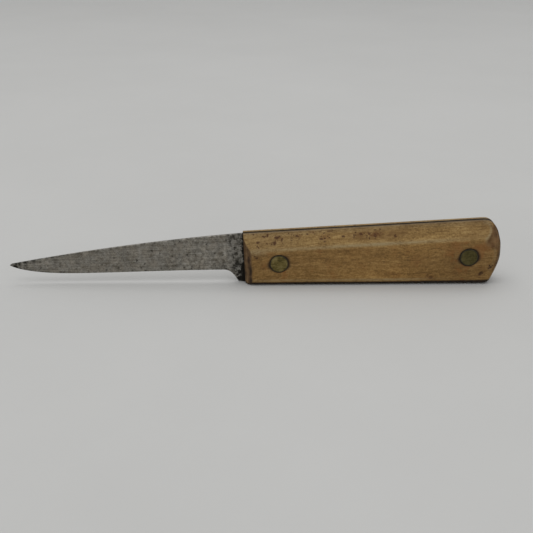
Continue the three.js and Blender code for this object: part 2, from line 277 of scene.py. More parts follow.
# Painted shade along the foot, where the rounded bottom edge turns under: how far up it reaches at places
# along
# X, the share of that below which it is full, where it begins behind the front end's arris and low down, and
# how it thins to dirt on the very bottom
FOOT_SHADE = ((X_FRONT, 1.7), (28.0, 1.82), (50.0, 1.75), (X_BUTT, 2.4))
FOOT_SHADE_FULL = 0.7
FOOT_SHADE_BEHIND = (0.5, -0.1)
FOOT_SHADE_LOWEST = (0.9, 0.3)
BOTTOM_DIRT_LEAST = 0.45
BOTTOM_DIRT_TO_SHADE = (0.05, 0.4, 0.55)
# Dirt elsewhere: out from a rivet along and across the grain and how that wavers round it, and streaks up the
# front end; darker wood along the butt's rim; painted shade and dirt in the seam along the tang, and either
# side of where the blade meets the wood
RING_ALONG = 0.75
RING_ACROSS = 0.2
RING_WAVES = (0.3, 0.25)
RING_PHASE = 0.6
END_STREAK = (0.35, 0.4, 0.8)
END_STREAKS_UP = ((6.5, 1.9), (2.2, 1.0))
# Darker wood along the butt's rim
BUTT_RIM_DARKER = (0, 0.4, 0.6)
BUTT_RIM_DARKER_UP = (8, 11)
SEAM_ON_TOP = (0.4, 0.05, 0.42)
SEAM_DEPTH = (0.15, 0.35)
SEAM_FOOT = 0.01
SEAM_FOOT_DIRT = 0.6
# Painted shade and dirt in the joint: on the wood at the front end, and on the steel by the wood and over the
# whole tang
JOINT_ON_WOOD = (0, 0.15)
JOINT_ON_STEEL = (0, 0.75)
# Dark steel: the heel low down by the wood, the tip, the rims of the spine and the edge, more so in the fore
# part, the ricasso, and the steel before the plunge, which has pale places too
HEEL_DARK = (0, 4.5)
HEEL_DARK_UP = (10, 3)
HEEL_PATINA = 0.8
HEEL_GRIME = 0.85
TIP_DARK = (X_TIP, 8.5, 0.9)
FORE_PART = (X_TIP, 14)
SPINE_RIM = (0, 0.45)
SPINE_RIM_DARK = 0.4
SPINE_RIM_FORE = 0.9
EDGE_RIM = (0, 0.5)
EDGE_RIM_DARK = 0.35
EDGE_RIM_FORE = 0.4
RICASSO_DARK = (0, 3, 0.75)
BEFORE_PLUNGE = (X_RICASSO - 9, 9)
BEFORE_PLUNGE_DARK = 0.22
BEFORE_PLUNGE_PALE = 0.45
# The painted highlight along the plunge, how it fades by the spine and the edge, and where pale steel ends
# behind it
PLUNGE_HIGHLIGHT = (0, 0.3, 0.99)
PLUNGE_HIGHLIGHT_TOP = (2, 5)
PLUNGE_HIGHLIGHT_FOOT = (0.2, 1.5)
PLUNGE_PALE_END = 3
# Brass heads: how far in from the rim their dirt begins and is full, and how tarnished they are
RIM_DIRT = {"front": 0.42, "rear": 0.65}
RIM_DIRT_FULL = 0.1
TARNISH = {"front": 0.05, "rear": 0.6}

# Stage: a pale floor, an even sky and one broad lamp overhead, in metres and watts
FLOOR_HALF = 3.0
FLOOR_GAP = 0.0001
SKY_STRENGTH = 0.6
LAMP_SIZE = 1.5
LAMP_HEIGHT = 1.2
LAMP_POWER = 8.6

# Camera, as the picture was taken: angles in degrees, aim and distances in metres, focal length in pixels
IMAGE_PIXELS = 533
FOCAL_PIXELS = 850
VIEW_AZIMUTH = -1
VIEW_ELEVATION = 24
VIEW_DISTANCE = 0.34
VIEW_AIM = Vector((0.00483, 0, 0.00615))
NEAREST_SEEN = 0.01


# Curves and falls
def top_height(x):
    """Height of the handle's straight top line, which use has worn down a little."""
    return FRONT_HEIGHT - TOP_WEAR + TOP_SLOPE * (x - X_FRONT)


def bezier(points, count=CURVE_POINTS):
    """Bezier curve: its control points weighted by the Bernstein terms C(n, k) t^k (1 - t)^(n - k)."""
    n = len(points) - 1
    t = np.linspace(0, 1, count)[:, None]
    k = np.arange(n + 1)
    ways = np.array([math.comb(n, i) for i in k])
    return (ways * t**k * (1 - t) ** (n - k)) @ np.array(points, float)


def arc(centre, radius, start, end, count=CURVE_POINTS):
    """Circular arc: the centre plus the radius times cosine and sine of an evenly running angle."""
    angle = np.linspace(start, end, count)
    return np.column_stack([centre[0] + radius * np.cos(angle), centre[1] + radius * np.sin(angle)])


def even(points, count):
    """The same line through evenly spaced points: each coordinate read off at equal steps of arc length."""
    run = np.concatenate([[0], np.cumsum(np.hypot(*np.diff(points, axis=0).T))])
    at = np.linspace(0, run[-1], count)
    return np.column_stack([np.interp(at, run, column) for column in points.T])


def step(x, start, end, height=1.0):
    """0 before start, the height after end, and 3 t^2 - 2 t^3 of it at the share t in between."""
    t = np.clip((x - start) / (end - start), 0, 1)
    return height * t * t * (3 - 2 * t)


def bell(x, middle, width, height=1.0):
    """The height times exp(-((x - middle) / width)^2)."""
    return height * np.exp(-(((x - middle) / width) ** 2))


def soft_min(a, b, softness):
    """The lower of two heights, with a parabola over the corner where they differ by less than softness."""
    near = np.maximum(softness - np.abs(a - b), 0)
    return np.minimum(a, b) - near**2 / (4 * softness)


def round_over(distance, radius):
    """How far a quarter round of a given radius falls at a distance from its rim."""
    inner = np.clip(radius - distance, 0, radius)
    return radius - np.sqrt(radius**2 - inner**2)


def ovals(x, z, where, up, lengths, heights, angles=0.0):
    """Oval bells, one for each place: exp(-(u / length)^2 - (v / height)^2), with u along its angle and v
    across it."""
    dx = x[..., None] - where
    dz = z[..., None] - up
    u = dx * np.cos(angles) + dz * np.sin(angles)
    v = dz * np.cos(angles) - dx * np.sin(angles)
    return np.exp(-((u / lengths) ** 2) - (v / heights) ** 2)


def spots(x, z, places):
    """The sum of oval bells, each at its place and times its amount."""
    where, up, lengths, heights, amounts = np.array(places).T
    return (amounts * ovals(x, z, where, up, lengths, heights)).sum(-1)


def clusters(x, z, places):
    """The highest of oval bells, each at its place below the top line and times its amount."""
    where, below, lengths, heights, amounts = np.array(places).T
    return (amounts * ovals(x, z, where, top_height(where) - below, lengths, heights)).max(-1)


# Outlines in side view
def butt_line():
    """The butt that the tang and the scales share, from the bottom to the top: a rounded foot, a raked
    stretch that swells to the apex, and a full curve over to the top line."""
    radius = EDGE_ROUND + BUTT_FOOT_EASE
    centre = (X_BUTT - BUTT_FOOT_SETBACK - radius * math.tan(BUTT_FOOT_SLOPE / 2), radius)
    foot = arc(centre, radius, -math.pi / 2, BUTT_FOOT_SLOPE - math.pi / 2)
    apex = (X_BUTT, BUTT_APEX_HEIGHT)
    swell = bezier([foot[-1], (X_BUTT, BUTT_FOOT_SETBACK * math.tan(BUTT_FOOT_SLOPE)), apex])
    x_top = X_BUTT - BUTT_TOP_SETBACK
    x_hold = x_top + BUTT_TOP_HOLD * BUTT_TOP_SETBACK
    side_hold = BUTT_APEX_HEIGHT + BUTT_SIDE_HOLD * (top_height(x_top) - BUTT_APEX_HEIGHT)
    over = bezier([apex, (X_BUTT, side_hold), (x_hold, top_height(x_hold)), (x_top, top_height(x_top))])
    return np.concatenate([foot, swell[1:], over[1:]])


def edge_line():
    """The underside of the blade: from the tip down to the belly, along the slightly hollow edge to the
    choil's arc, and down the sloping heel to the bottom of the handle."""
    x_belly = X_TIP + BELLY_FROM_TIP
    x_foot = X_FRONT - HEEL_LENGTH
    x_end = x_foot - EDGE_HEIGHT_AT_HEEL / math.tan(HEEL_SLOPE) - CHOIL_RADIUS * math.tan(HEEL_SLOPE / 2)
    tip_hold = TIP_HOLD * BELLY_FROM_TIP
    stretch = x_end - x_belly
    from_tip = bezier([
        (X_TIP, TIP_HEIGHT),
        (X_TIP + tip_hold, TIP_HEIGHT - tip_hold * math.tan(TIP_ANGLE)),
        (x_belly - BELLY_HOLD * BELLY_FROM_TIP, BELLY_HEIGHT),
        (x_belly, BELLY_HEIGHT),
    ])
    to_heel = bezier([
        (x_belly, BELLY_HEIGHT),
        (x_belly + HOLLOW_HOLD * stretch, BELLY_HEIGHT),
        (x_end - HEEL_HOLD * stretch, EDGE_HEIGHT_AT_HEEL),
        (x_end, EDGE_HEIGHT_AT_HEEL),
    ])
    choil_centre = (x_end, EDGE_HEIGHT_AT_HEEL - CHOIL_RADIUS)
    choil = arc(choil_centre, CHOIL_RADIUS, math.pi / 2, math.pi / 2 - HEEL_SLOPE)
    return np.concatenate([from_tip, to_heel[1:], choil[1:], [(x_foot, 0), (X_FRONT, 0)]])


def spine_line():
    """The back of the blade: a blunted tip, then a shallow bow up to just below the top of the handle."""
    length = X_FRONT - X_TIP - TIP_BLUNTING
    x_bow = X_TIP + TIP_BLUNTING
    z_bow = TIP_HEIGHT + TIP_BLUNTING
    blunt = bezier([(X_TIP, TIP_HEIGHT), (X_TIP, TIP_HEIGHT + TIP_BLUNTING / 2), (x_bow, z_bow)])
    middle = (X_FRONT - length / 2, SPINE_START - SPINE_SLOPE * length / 2)
    bow = bezier([(x_bow, z_bow), middle, (X_FRONT, SPINE_START)])
    return np.concatenate([blunt, bow[1:]])


def front_line(z):
    """X of the scales' front end: it leans back downwards and ends in a quarter round at the bottom."""
    return X_FRONT + FRONT_LEAN * (1 - z / FRONT_HEIGHT) + round_over(z, FRONT_FOOT_ROUND)


def butt_distance(x, z):
    """Distance of points near the butt from its line, and a large one elsewhere."""
    line = even(butt_line(), BUTT_POINTS)
    distance = np.full(x.shape, FAR)
    near = x > X_BUTT - BUTT_NEARNESS
    distance[near] = np.hypot(x[near][:, None] - line[:, 0], z[near][:, None] - line[:, 1]).min(1)
    return distance


# Grids of points in side view, as X and Z arrays over columns and rows
def butt_columns(length, count):
    """Shares of a row of a given length: even steps, then steps that close up towards the butt as the
    cosine of an even angle does, so that the round-over there stays smooth."""
    turn = np.linspace(math.pi / 2, 0, ROUND_COLUMNS)
    last = 1 - EDGE_ROUND / length * (1 - np.cos(turn))
    return np.concatenate([np.linspace(0, last[0], count)[:-1], last])


def handle_grid():
    """Straight rows from the leaning front end to evenly spaced points of the butt, whose foot and top
    arc bring the rows together along the bottom and the top."""
    butt = even(butt_line(), SCALE_ROWS)
    share = butt[:, 1] / butt[-1, 1]
    z_front = top_height(X_FRONT) * share
    x_front = front_line(z_front)
    along = butt_columns(X_BUTT - X_FRONT, SCALE_COLUMNS)[:, None]
    x = x_front + along * (butt[:, 0] - x_front)
    z = z_front + along * (butt[:, 1] - z_front)
    return x, z


def blade_grid():
    """Columns from the edge to the spine, crowded towards the tip by a power of their share, carried on
    through the tang by straight rows to evenly spaced points of the butt."""
    butt = even(butt_line(), BLADE_ROWS)
    share = butt[:, 1] / butt[-1, 1]
    run = np.linspace(0, 1, BLADE_COLUMNS) ** TIP_CROWDING
    x_blade = X_TIP + FIRST_COLUMN + (X_FRONT - X_TIP - FIRST_COLUMN) * run
    edge = np.interp(x_blade, *edge_line().T)[:, None]
    spine = np.interp(x_blade, *spine_line().T)[:, None]
    along = butt_columns(X_BUTT - X_FRONT, TANG_COLUMNS)[1:, None]
    x_tang = X_FRONT + along * (butt[:, 0] - X_FRONT)
    z_tang = SPINE_START * share + along * (butt[:, 1] - SPINE_START * share)
    x = np.concatenate([np.repeat(x_blade[:, None], BLADE_ROWS, 1), x_tang])
    z = np.concatenate([edge + (spine - edge) * share, z_tang])
    return x, z


def spread(mask):
    """A mask of grid points with the eight neighbours of each point added."""
    wide = np.pad(mask, 1)
    wide = wide[:-2] | wide[1:-1] | wide[2:]
    return wide[:, :-2] | wide[:, 1:-1] | wide[:, 2:]


def bored(x, z, centre, radius):
    """The grid drawn round a hole: points next to its circle move onto it along their radius, those
    outside onto the rim and those inside just within. Gives the grid and the mask of points inside."""
    dx = x - centre[0]
    dz = z - centre[2]
    distance = np.hypot(dx, dz)
    inside = distance < radius
    target = np.where(spread(inside) & ~inside, radius, distance)
    target = np.where(spread(~inside) & inside, INNER_RIM * radius, target)
    pull = target / np.maximum(distance, TINY)
    return centre[0] + dx * pull, centre[2] + dz * pull, inside


def rivet_holes(x, z, *radii):
    """The grid drawn round the holes for pieces of the given radii in each rivet's place. Gives the grid and
    for each radius the mask of points inside its holes."""
    masks = [np.zeros(x.shape, bool) for radius in radii]
    for centre in RIVET_CENTRES.values():
        for mask, radius in zip(masks, radii):
            x, z, inside = bored(x, z, centre, radius + CLEARANCE)
            mask |= inside
    return x, z, *masks


def whole_cells(in_hole):
    """The grid cells that have no corner in a hole."""
    return ~(in_hole[:-1, :-1] | in_hole[1:, :-1] | in_hole[1:, 1:] | in_hole[:-1, 1:])


# Meshes
def slab(x, z, left_y, right_y, kept):
    """A closed slab between two skins on one grid: a quad for each kept cell of each skin, and a quad
    across from skin to skin wherever a kept cell has no kept neighbour. Gives the points, the faces and
    the grid numbers of the points, counted over both skins."""
    skins = [np.stack([x, np.broadcast_to(y, x.shape), z], -1).reshape(-1, 3) for y in (left_y, right_y)]
    number = np.arange(x.size).reshape(x.shape)
    a, b, c, d = number[:-1, :-1], number[1:, :-1], number[1:, 1:], number[:-1, 1:]
    skin = np.stack([a, b, c, d], -1)[kept]
    quads = [skin, skin[:, ::-1] + x.size]
    ring = np.pad(kept, 1)
    beyond_cells = (ring[:-2, 1:-1], ring[2:, 1:-1], ring[1:-1, :-2], ring[1:-1, 2:])
    for start, end, beyond in zip((a, c, b, d), (d, b, a, c), beyond_cells):
        border = kept & ~beyond
        s, e = start[border], end[border]
        quads.append(np.stack([s, e, e + x.size, s + x.size], -1))
    used, faces = np.unique(np.concatenate(quads), return_inverse=True)
    return np.concatenate(skins)[used], faces.reshape(-1, 4).tolist(), used


def on_points(fields, used):
    """Values given over a grid, taken to the points of a slab that was made on it."""
    return {name: np.tile(values.ravel(), 2)[used] for name, values in fields.items()}


def turned(centre, profile):
    """A profile of (radius, y) pairs carried round a rivet's axis, which runs along Y: x and z are the
    radius times cosine and sine. The two ends lie on the axis and close as fans about one point each."""
    angle = np.linspace(0, 2 * math.pi, RIVET_STEPS, endpoint=False)
    radius, y = np.array(profile, float)[1:-1].T[:, :, None]
    rings = np.stack(np.broadcast_arrays(
        centre[0] + radius * np.cos(angle), y, centre[2] + radius * np.sin(angle)), -1)
    poles = [(centre[0], profile[0][1], centre[2]), (centre[0], profile[-1][1], centre[2])]
    number = np.arange(rings[..., 0].size).reshape(rings.shape[:2])
    follow = np.roll(number, -1, 1)
    quads = np.stack([number[:-1], number[1:], follow[1:], follow[:-1]], -1).reshape(-1, 4)
    first, last = number.size, number.size + 1
    start_fan = np.stack([np.full(RIVET_STEPS, first), number[0], follow[0]], -1)
    end_fan = np.stack([np.full(RIVET_STEPS, last), follow[-1], number[-1]], -1)
    points = np.concatenate([rings.reshape(-1, 3), poles])
    return points, quads.tolist() + start_fan.tolist() + end_fan.tolist()


def add_object(name, data):
    """An object in the scene."""
    made = bpy.data.objects.new(name, data)
    bpy.context.scene.collection.objects.link(made)
    return made


def add_mesh(name, points, faces, material):
    """An object in the scene from points in metres and faces."""
    mesh = bpy.data.meshes.new(name)
    mesh.from_pydata(points, [], faces)
    mesh.materials.append(material)
    return add_object(name, mesh)


def add_piece(name, points, faces, material, nodes, fields):
    """An object of the root body from points in millimetres, smooth up to the sharp angle, with named
    values per point for its material."""
    piece = add_mesh(name, (points * MM).tolist(), faces, material)
    piece.data.shade_smooth()
    piece.data.set_sharp_from_angle(angle=SHARP_ANGLE)
    for field, values in fields.items():
        attribute = piece.data.attributes.new(field, "FLOAT", "POINT")
        attribute.data.foreach_set("value", values.astype(np.float32))
    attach(piece, "root")
    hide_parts(*nodes)


# Node helpers
class Tree:
    """A node tree that is wired up as its nodes are added."""

    def __init__(self, tree):
        self.tree = tree

    def wire(self, node, inputs):
        """Gives each named input its value, colour or socket."""
        for name, value in inputs.items():
            socket = node.inputs[name]
            if isinstance(value, bpy.types.NodeSocket):
                self.tree.links.new(value, socket)
            else:
                socket.default_value = (*value, 1) if socket.type == "RGBA" else value
        return node

    def add(self, kind, inputs=None, **settings):
        """A shader node of a kind, with its settings and inputs."""
        node = self.tree.nodes.new("ShaderNode" + kind)
        for name, value in settings.items():
            setattr(node, name, value)
        return self.wire(node, inputs or {})

    def place(self):
        """Where a point lies in the frame, in metres."""
        return self.add("TexCoord").outputs["Object"]

    def field(self, name):
        """A named value that the piece's mesh carries at each point."""
        return self.add("Attribute", attribute_name=name, attribute_type="GEOMETRY").outputs["Fac"]

    def effect(self, group, vector, **numbers):
        """A shared effect on given coordinates, with its numbers."""
        return self.wire(self.add("Group", node_tree=group), {"Vector": vector, **numbers}).outputs[0]

    def noise(self, vector, scale, detail, roughness=0.5, output="Fac"):
        """Noise on given coordinates."""
        inputs = {"Vector": vector, "Scale": scale, "Detail": detail, "Roughness": roughness}
        return self.add("TexNoise", inputs).outputs[output]

    def math(self, operation, a, b=0.0):
        """Two numbers joined by an operation, held between 0 and 1."""
        return self.add("Math", {0: a, 1: b}, operation=operation, use_clamp=True).outputs[0]

    def vector(self, operation, inputs):
        """Vectors joined by an operation."""
        return self.add("VectorMath", inputs, operation=operation).outputs[0]

    def fit(self, value, low, high, to_low=0.0, to_high=1.0):
        """A value taken from one range to another, eased at both ends and held outside them."""
        ranges = {"Value": value, "From Min": low, "From Max": high, "To Min": to_low, "To Max": to_high}
        return self.add("MapRange", ranges, interpolation_type="SMOOTHSTEP").outputs["Result"]

    def between(self, share, a, b):
        """A number that lies a share of the way from a to b."""
        return self.add("Mix", {0: share, 2: a, 3: b}).outputs[0]

    def mix(self, share, a, b, blend="MIX"):
        """Colour a with a share of colour b."""
        return self.add("Mix", {0: share, 6: a, 7: b}, data_type="RGBA", blend_type=blend).outputs[2]

    def ramp(self, value, stops):
        """A colour ramp through (place, colour) stops."""
        node = self.add("ValToRGB", {"Fac": value})
        elements = node.color_ramp.elements
        while len(elements) < len(stops):
            elements.new(1)
        for element, (place, colour) in zip(elements, stops):
            element.position = place
            element.color = (*colour, 1)
        return node.outputs["Color"]

    def bump(self, height, strength, distance):
        """The normals of a relief, from its height, its strength and its depth in metres."""
        relief = {"Height": height, "Strength": strength, "Distance": distance}
        return self.add("Bump", relief).outputs["Normal"]


def shared_effect(name, numbers, build):
    """A node group with a vector input, named number inputs and one number output, which build makes."""
    group = bpy.data.node_groups.new(name, "ShaderNodeTree")
    group.interface.new_socket("Vector", in_out="INPUT", socket_type="NodeSocketVector")
    for number in numbers:
        group.interface.new_socket(number, in_out="INPUT", socket_type="NodeSocketFloat")
    group.interface.new_socket("Value", in_out="OUTPUT", socket_type="NodeSocketFloat")
    start = group.nodes.new("NodeGroupInput")
    end = group.nodes.new("NodeGroupOutput")
    group.links.new(build(Tree(group), start.outputs), end.inputs["Value"])
    return group


def build_streaks(tree, given):
    """Lines along the knife: noise on coordinates that are scaled little along X and much across it."""
    across = given["Across"]
    scale = tree.add("CombineXYZ", {"X": given["Along"], "Y": across, "Z": across}).outputs[0]
    lines = tree.vector("MULTIPLY", {0: given["Vector"], 1: scale})
    return tree.noise(lines, 1, 4, 0.6)


def build_mottle(tree, given):
    """Cloudy patches within patches: noise of many octaves."""
    return tree.noise(given["Vector"], given["Scale"], 7, 0.65)


def build_pits(tree, given):
    """Scattered pits: a dot at the middle of a share of the cells of a Voronoi pattern, made ragged by noise
    that shakes its coordinates."""
    scaled = tree.vector("SCALE", {0: given["Vector"], "Scale": given["Scale"]})
    shake = tree.noise(scaled, 2.2, 1, output="Color")
    ragged = tree.vector("MULTIPLY_ADD", {0: shake, 1: (0.8, 0.8, 0.8), 2: scaled})
    cells = tree.add("TexVoronoi", {"Vector": ragged, "Scale": 1})
    dot = tree.fit(cells.outputs["Distance"], 0.12, 0.42, 1, 0)
    chance = tree.add("SeparateColor", {"Color": cells.outputs["Color"]}).outputs["Red"]
    return tree.math("MULTIPLY", dot, tree.math("LESS_THAN", chance, given["Share"]))


STREAKS = shared_effect("lengthwise_streaks", ("Along", "Across"), build_streaks)
MOTTLE = shared_effect("mottled_patches", ("Scale",), build_mottle)
PITS = shared_effect("scattered_pits", ("Scale", "Share"), build_pits)

# Colours of the finishes. Tones run from dark to pale, each with its place on a ramp. Those named paler, and
# the tint, are multiplied in
FACE_TONES = ((0.38, (0.073, 0.0362, 0.01)), (0.5, (0.207, 0.1145, 0.033)), (0.62, (0.352, 0.214, 0.075)))
BEVEL_TONES = ((0.4, (0.11, 0.057, 0.017)), (0.5, (0.256, 0.154, 0.051)), (0.6, (0.425, 0.283, 0.112)))
END_TONES = ((0.4, (0.037, 0.018, 0.007)), (0.5, (0.1, 0.055, 0.023)), (0.6, (0.175, 0.105, 0.048)))
REDDISH_WOOD = (0.22, 0.09, 0.022)
PALER_WOOD = (1.5, 1.515, 1.515)
# Colour of rubbed wood and of the painted highlights
RUBBED_AND_HIGHLIT_WOOD = (0.305, 0.235, 0.125)
PORE_COLOUR = (0.06, 0.028, 0.009)
SMEAR_COLOUR = (0.125, 0.058, 0.018)
RUST_COLOUR = (0.14, 0.06, 0.019)
BLOTCH_COLOUR = (0.068, 0.027, 0.011)
STAIN_COLOUR = (0.07, 0.028, 0.01)
# Dark colour for dirt and painted shade on the wood
WOOD_GRIME_AND_SHADE = (0.0095, 0.0056, 0.0028)
STEEL_TONES = ((0.415, (0.125, 0.115, 0.094)), (0.5, (0.245, 0.23, 0.2)), (0.585, (0.365, 0.347, 0.31)))
PATINA_TONES = ((0.41, (0.016, 0.015, 0.012)), (0.5, (0.11, 0.103, 0.089)), (0.59, (0.27, 0.257, 0.228)))
STEEL_TINT = (1.015, 0.985, 0.945)
# Multiplied in for pale steel and for the painted highlight along the plunge
PALER_STEEL_AND_HIGHLIGHT = (1.8, 1.8, 1.8)
STEEL_PIT = (0.03, 0.027, 0.022)
# Dark colour for dirt and painted shade on the steel
STEEL_GRIME_AND_SHADE = (0.012, 0.01, 0.008)
BRASS_TONES = ((0.4, (0.09, 0.07, 0.022)), (0.5, (0.165, 0.128, 0.042)), (0.6, (0.25, 0.2, 0.08)))
TARNISH_COLOUR = (0.045, 0.042, 0.016)
BRASS_GRIME = (0.016, 0.014, 0.008)
FLOOR_TONES = ((0.3, (0.485, 0.485, 0.475)), (0.7, (0.515, 0.515, 0.505)))


# Finishes
def new_finish(name):
    """An empty material with its tree and its Principled shader."""
    material = bpy.data.materials.new(name)
    material.use_nodes = True
    return material, Tree(material.node_tree), material.node_tree.nodes["Principled BSDF"]


def wood_grain(tree, place):
    """Coordinates that sway a little and run down towards the front end, the relief of the grain along them,
    flecks, and the tone that grain at three widths makes with patches and flecks."""
    sway = tree.noise(place, 26, 2)
    swayed = {0: sway, 1: 0.01, 2: tree.field("grain_shift")}
    shift = tree.add("Math", swayed, operation="MULTIPLY_ADD").outputs[0]
    lines = tree.vector("ADD", {0: place, 1: tree.add("CombineXYZ", {"Z": shift}).outputs[0]})
    broad = tree.effect(STREAKS, lines, Along=20, Across=240)
    medium = tree.effect(STREAKS, lines, Along=100, Across=800)
    fine = tree.effect(STREAKS, lines, Along=520, Across=2300)
    patches = tree.effect(MOTTLE, place, Scale=90)
    flecks = tree.effect(MOTTLE, place, Scale=1500)
    grain = tree.between(0.38, tree.between(0.55, broad, medium), fine)
    tone = tree.between(0.4, grain, tree.between(0.68, patches, flecks))
    return lines, tree.between(0.5, medium, fine), flecks, tone


def bare_wood(tree, lines, tone, pores):
    """The colour of clean wood: a face that is reddish in patches, a paler bevel, pale and rubbed places with
    painted highlights along the ridge, the eased corner and the foot, and dark pores."""
    pale = tree.field("pale")
    red = tree.fit(tree.effect(MOTTLE, lines, Scale=150), 0.5, 0.64, 0, 0.7)
    red = tree.math("MULTIPLY", red, tree.fit(pale, 0, 1, 1.25, 0.25))
    face = tree.mix(red, tree.ramp(tone, FACE_TONES), REDDISH_WOOD)
    colour = tree.mix(tree.field("bevel"), face, tree.ramp(tone, BEVEL_TONES))
    colour = tree.mix(tree.math("MULTIPLY", pale, 0.64), colour, PALER_WOOD, "MULTIPLY")
    # Rubbed wood and painted highlights, carried by the worn field
    rubbed_and_highlit = tree.math("MULTIPLY", tree.field("worn"), tree.fit(tone, 0.42, 0.56, 0.3, 0.9))
    colour = tree.mix(rubbed_and_highlit, colour, RUBBED_AND_HIGHLIT_WOOD)
    return tree.mix(tree.math("MULTIPLY", pores, 0.55), colour, PORE_COLOUR)


def wood_ends(tree, place):
    """The colour of end grain: upright streaks and blotches."""
    rays = tree.add("Mapping", {"Vector": place, "Scale": (900, 900, 130)}).outputs[0]
    streaks = tree.noise(rays, 1, 5)
    tone = tree.between(0.5, streaks, tree.effect(MOTTLE, place, Scale=420))
    return tree.ramp(tone, END_TONES)


def wood_dirt_and_shade(tree, place, flecks, colour):
    """The wood's colour under smears, rust, blotches, stains, pits, and grime and painted shade, and the mask
    of the pits.
    """
    smudges = tree.effect(MOTTLE, place, Scale=320)
    speckled = tree.between(0.5, smudges, flecks)
    smeared = tree.math("MULTIPLY", tree.field("smear"), tree.fit(speckled, 0.4, 0.56))
    colour = tree.mix(smeared, colour, SMEAR_COLOUR)

    pitted = tree.field("pits")
    small = tree.effect(PITS, place, Scale=950, Share=tree.math("MULTIPLY", pitted, 1.4))
    large = tree.effect(PITS, place, Scale=520, Share=tree.math("MULTIPLY", pitted, 0.8))
    pits = tree.math("MAXIMUM", small, large)
    rusty = tree.math("MULTIPLY", tree.fit(pitted, 0.05, 0.7), tree.fit(smudges, 0.42, 0.58, 0.05, 0.6))
    colour = tree.mix(rusty, colour, RUST_COLOUR)
    blotched = tree.math("ADD", tree.field("blotches"), tree.fit(flecks, 0.35, 0.65, -0.3, 0.3))
    colour = tree.mix(tree.fit(blotched, 0.25, 0.65, 0, 0.9), colour, BLOTCH_COLOUR)

    stain = tree.math("MULTIPLY", tree.field("stain"), tree.fit(flecks, 0.34, 0.54))
    colour = tree.mix(tree.math("MAXIMUM", stain, pits), colour, STAIN_COLOUR)
    # Dirt, and painted shade along the foot, in the seam and in the joint with the blade
    grime_and_shade = tree.math("MULTIPLY", tree.field("grime_and_shade"), tree.fit(flecks, 0.34, 0.56, 0.8, 1))
    return tree.mix(grime_and_shade, colour, WOOD_GRIME_AND_SHADE), pits


def aged_hardwood():
    """Hardwood that has gone brown with handling: swaying grain, streaked ends, dirt and painted shade over
    both, painted highlights, and a fine relief with sunk pores and pits."""
    material, tree, shader = new_finish("aged_hardwood")
    place = tree.place()
    lines, relief, flecks, tone = wood_grain(tree, place)
    pores = tree.fit(tree.effect(STREAKS, lines, Along=520, Across=2800), 0.57, 0.69)
    colour = bare_wood(tree, lines, tone, pores)
    colour = tree.mix(tree.field("end_grain"), colour, wood_ends(tree, place))
    colour, pits = wood_dirt_and_shade(tree, place, flecks, colour)
    tree.wire(shader, {"Base Color": colour, "Roughness": tree.fit(tone, 0.4, 0.6, 0.7, 0.52)})
    sunk = tree.math("ADD", tree.math("MULTIPLY", pores, 0.3), tree.math("MULTIPLY", pits, 0.4))
    normal = tree.bump(tree.math("SUBTRACT", relief, sunk), 0.5, 0.00015)
    tree.wire(shader, {"Normal": normal, "Specular IOR Level": 0.22})
    return material


def dull_steel():
    """Carbon steel gone grey: blotches of patina within clouds, lengthwise scratches, dark pits, a painted
    highlight along the plunge, and black dirt and painted shade where the wood begins and over the tang."""
    material, tree, shader = new_finish("dull_steel")
    place = tree.place()
    clouds = tree.effect(MOTTLE, place, Scale=190)
    blotches = tree.effect(MOTTLE, place, Scale=700)
    scratches = tree.effect(STREAKS, place, Along=70, Across=2400)
    grit = tree.effect(MOTTLE, place, Scale=2000)
    patina = tree.between(0.4, tree.between(0.5, clouds, blotches), grit)
    tone = tree.between(0.3, patina, scratches)
    tint = tree.fit(tree.effect(MOTTLE, place, Scale=260), 0.42, 0.58)
    colour = tree.mix(tint, tree.ramp(tone, STEEL_TONES), STEEL_TINT, "MULTIPLY")
    # Paler steel before the plunge, and a painted highlight along the plunge line
    colour = tree.mix(tree.math("MULTIPLY", tree.field("plunge"), 0.6), colour, PALER_STEEL_AND_HIGHLIGHT, "MULTIPLY")
    darkened = tree.field("patina")
    colour = tree.mix(darkened, colour, tree.ramp(blotches, PATINA_TONES))

    pits = tree.effect(PITS, place, Scale=650, Share=tree.fit(darkened, 0, 0.5, 0.22, 0.34))
    pitted = tree.math("MULTIPLY", pits, tree.fit(darkened, 0, 1, 0.7, 0.9))
    colour = tree.mix(pitted, colour, STEEL_PIT)
    # Dirt and painted shade by the wood and over the tang, and dirt at the heel
    ragged = tree.math("ADD", tree.field("grime_and_shade"), tree.fit(blotches, 0.4, 0.6, 0.25, -0.25))
    grime_and_shade = tree.fit(ragged, 0.25, 0.75)
    colour = tree.mix(grime_and_shade, colour, STEEL_GRIME_AND_SHADE)
    tree.wire(shader, {"Base Color": colour, "Metallic": tree.fit(grime_and_shade, 0, 0.6, 0.95, 0)})
    bare = tree.fit(patina, 0.4, 0.6, 0.58, 0.42)
    normal = tree.bump(tree.math("SUBTRACT", tone, tree.math("MULTIPLY", pits, 0.4)), 0.35, 0.0001)
    tree.wire(shader, {"Roughness": tree.between(grime_and_shade, bare, 0.95)})
    tree.wire(shader, {"Normal": normal, "Specular IOR Level": 0.15})
    return material


